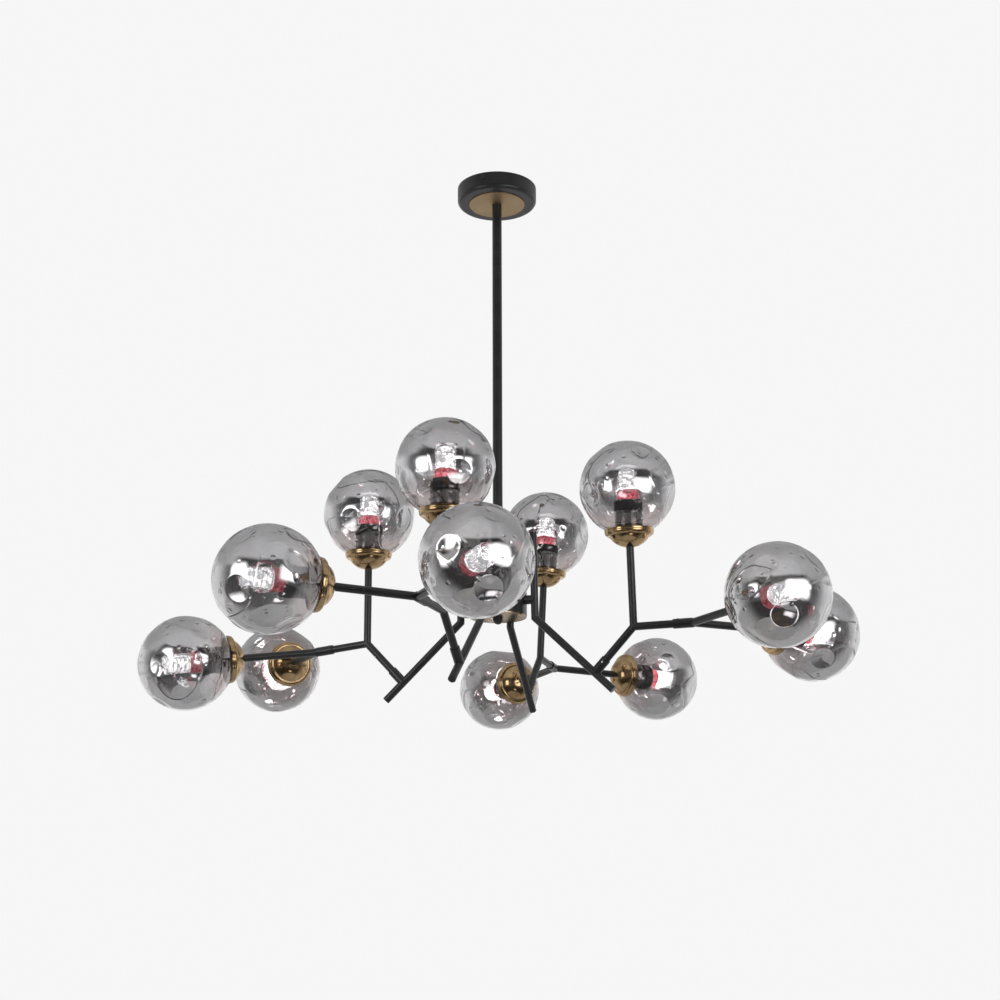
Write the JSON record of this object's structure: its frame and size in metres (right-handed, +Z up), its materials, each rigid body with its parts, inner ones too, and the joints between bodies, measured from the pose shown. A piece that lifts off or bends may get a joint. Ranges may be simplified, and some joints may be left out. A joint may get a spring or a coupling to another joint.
{
  "type": "branch chandelier",
  "caption": "Branch chandelier of black tube on a drop rod, with clusters of smoked glass globes in brass cups that swivel.",
  "frame": {"origin": "the middle of the canopy's top face, where it meets the ceiling", "axes": "+Z up into the ceiling, +X out along the right arm, +Y out along the back arm"},
  "size_m": [1.0879, 1.0964, 0.8891],
  "materials": {
    "satin_black": "satin black powder coat",
    "polished_brass": "polished brass plating, slightly aged",
    "brushed_brass": "matt brushed brass",
    "smoked_glass": "smoke grey blown glass with a thin mirror coating, clearer at the neck",
    "holder_black": "black collar over a bright metal skirt",
    "bulb_clear": "clear ribbed bulb with a translucent red band",
    "bracket_zinc": "zinc plated steel",
    "screw_steel": "bright plated steel",
    "white_plastic": "white moulded plastic"
  },
  "bodies": {
    "frame": {"ceiling_bracket": "bracket_zinc", "canopy": "satin_black", "canopy_plate": "brushed_brass", "canopy_screws": "screw_steel", "terminal_block": "white_plastic", "drop_rod": "satin_black", "rod_nipples": "screw_steel", "locknuts": "screw_steel", "hub_body": "satin_black", "hub_plate": "polished_brass", "finial": "satin_black", "socket_screws": "screw_steel", "right_arm_tube": "satin_black", "back_arm_tube": "satin_black", "left_arm_tube": "satin_black", "front_arm_tube": "satin_black"},
    "right_branch": {"right_branch_tube": "satin_black", "right_top_cup": "polished_brass", "right_top_holder": "holder_black", "right_top_bulb": "bulb_clear", "right_top_globe": "smoked_glass"},
    "right_fork": {"right_fork_tube": "satin_black", "right_fork_cups": "polished_brass", "right_fork_holders": "holder_black", "right_fork_bulbs": "bulb_clear", "right_fork_globe_a": "smoked_glass", "right_fork_globe_b": "smoked_glass"},
    "back_branch": {"back_branch_tube": "satin_black", "back_top_cup": "polished_brass", "back_top_holder": "holder_black", "back_top_bulb": "bulb_clear", "back_top_globe": "smoked_glass"},
    "back_fork": {"back_fork_tube": "satin_black", "back_fork_cups": "polished_brass", "back_fork_holders": "holder_black", "back_fork_bulbs": "bulb_clear", "back_fork_globe_a": "smoked_glass", "back_fork_globe_b": "smoked_glass"},
    "left_branch": {"left_branch_tube": "satin_black", "left_top_cup": "polished_brass", "left_top_holder": "holder_black", "left_top_bulb": "bulb_clear", "left_top_globe": "smoked_glass"},
    "left_fork": {"left_fork_tube": "satin_black", "left_fork_cups": "polished_brass", "left_fork_holders": "holder_black", "left_fork_bulbs": "bulb_clear", "left_fork_globe_a": "smoked_glass", "left_fork_globe_b": "smoked_glass"},
    "front_branch": {"front_branch_tube": "satin_black", "front_top_cup": "polished_brass", "front_top_holder": "holder_black", "front_top_bulb": "bulb_clear", "front_top_globe": "smoked_glass"},
    "front_fork": {"front_fork_tube": "satin_black", "front_fork_cups": "polished_brass", "front_fork_holders": "holder_black", "front_fork_bulbs": "bulb_clear", "front_fork_globe_a": "smoked_glass", "front_fork_globe_b": "smoked_glass"}
  },
  "joints": [
    {"name": "right_branch_swivel", "type": "hinge", "parent": "frame", "child": "right_branch", "pos_m": [0.1574, 0.00118, -0.84193], "axis": [0.6936, -0.0496, 0.7187], "range_deg": [-30, 30]},
    {"name": "right_fork_swivel", "type": "hinge", "parent": "right_branch", "child": "right_fork", "pos_m": [0.3134, -0.00353, -0.77496], "axis": [1, -0.0011, 0.0014], "range_deg": [-170, 170]},
    {"name": "back_branch_swivel", "type": "hinge", "parent": "frame", "child": "back_branch", "pos_m": [-0.00455, 0.15728, -0.842], "axis": [0.0128, 0.6948, 0.7191], "range_deg": [-30, 30]},
    {"name": "back_fork_swivel", "type": "hinge", "parent": "back_branch", "child": "back_fork", "pos_m": [-0.00726, 0.31323, -0.77899], "axis": [-0.0425, 0.9982, -0.0423], "range_deg": [-170, 170]},
    {"name": "left_branch_swivel", "type": "hinge", "parent": "frame", "child": "left_branch", "pos_m": [-0.15703, -0.01079, -0.84193], "axis": [-0.6953, 0.0071, 0.7187], "range_deg": [-30, 30]},
    {"name": "left_fork_swivel", "type": "hinge", "parent": "left_branch", "child": "left_fork", "pos_m": [-0.31282, -0.00807, -0.78315], "axis": [-0.9959, 0.0224, -0.0881], "range_deg": [-170, 170]},
    {"name": "front_branch_swivel", "type": "hinge", "parent": "frame", "child": "front_branch", "pos_m": [-0.00381, -0.15727, -0.84204], "axis": [-0.0058, -0.6947, 0.7193], "range_deg": [-30, 30]},
    {"name": "front_fork_swivel", "type": "hinge", "parent": "front_branch", "child": "front_fork", "pos_m": [-0.00592, -0.3133, -0.77195], "axis": [-0.0171, -0.9992, 0.0349], "range_deg": [-170, 170]}
  ]
}
